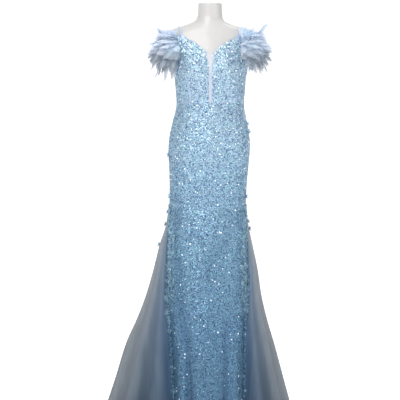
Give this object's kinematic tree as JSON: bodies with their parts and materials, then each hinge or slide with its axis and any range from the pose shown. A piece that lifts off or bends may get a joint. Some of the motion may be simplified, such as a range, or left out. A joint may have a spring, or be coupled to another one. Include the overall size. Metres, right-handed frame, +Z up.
{
  "type": "evening dress on a dress form",
  "caption": "Fitted fishtail evening dress in sequins with tulle godets and feathered off-shoulder sleeves, on a limbless dress form.",
  "frame": {"origin": "centre of the round base's underside, on the floor, under the middle of the form's neck", "axes": "+Z up along the pole, -Y to the front of the dress, +X to the wearer's left"},
  "size_m": [0.7396, 0.3981, 1.618],
  "materials": {
    "form_shell": "smooth off-white shell with a soft gloss",
    "form_metal": "brushed steel pole and base",
    "sequinned_cloth": "pale blue net covered with small overlapping sequins",
    "sheer_mesh": "fine sheer mesh",
    "tulle": "translucent dusty blue tulle",
    "satin": "narrow satin tube",
    "feather": "soft dyed feathers",
    "applique": "raised petals with sequins",
    "zip_metal": "blue lacquered zip slider and pull"
  },
  "bodies": {
    "dress": {"form_torso": "form_shell", "form_flange": "form_metal", "form_pole": "form_metal", "form_base": "form_metal", "bodice_centre_front_left": "sequinned_cloth", "bodice_centre_front_right": "sequinned_cloth", "bodice_side_front_left": "sequinned_cloth", "bodice_side_front_right": "sequinned_cloth", "bodice_back_left": "sequinned_cloth", "bodice_back_right": "sequinned_cloth", "plunge_insert": "sheer_mesh", "skirt_front": "sequinned_cloth", "skirt_back_left": "sequinned_cloth", "skirt_back_right": "sequinned_cloth", "tulle_front_left": "tulle", "tulle_back_left": "tulle", "tulle_front_right": "tulle", "tulle_back_right": "tulle", "strap_left": "satin", "strap_right": "satin", "sleeve_band_left": "sequinned_cloth", "sleeve_band_right": "sequinned_cloth", "feathers_left": "feather", "feathers_right": "feather", "applique_left": "applique", "applique_right": "applique", "flower_01": "applique", "flower_02": "applique", "flower_03": "applique", "flower_04": "applique", "flower_05": "applique", "flower_06": "applique", "flower_07": "applique", "flower_08": "applique", "flower_09": "applique", "flower_10": "applique", "zip_slider": "zip_metal"},
    "zip_tab": {"zip_pull": "zip_metal"}
  },
  "joints": [
    {"name": "zip_tab_hinge", "type": "hinge", "parent": "dress", "child": "zip_tab", "pos_m": [0, 0.10999, 1.3418], "axis": [1, 0, 0], "range_deg": [0, 150]}
  ]
}
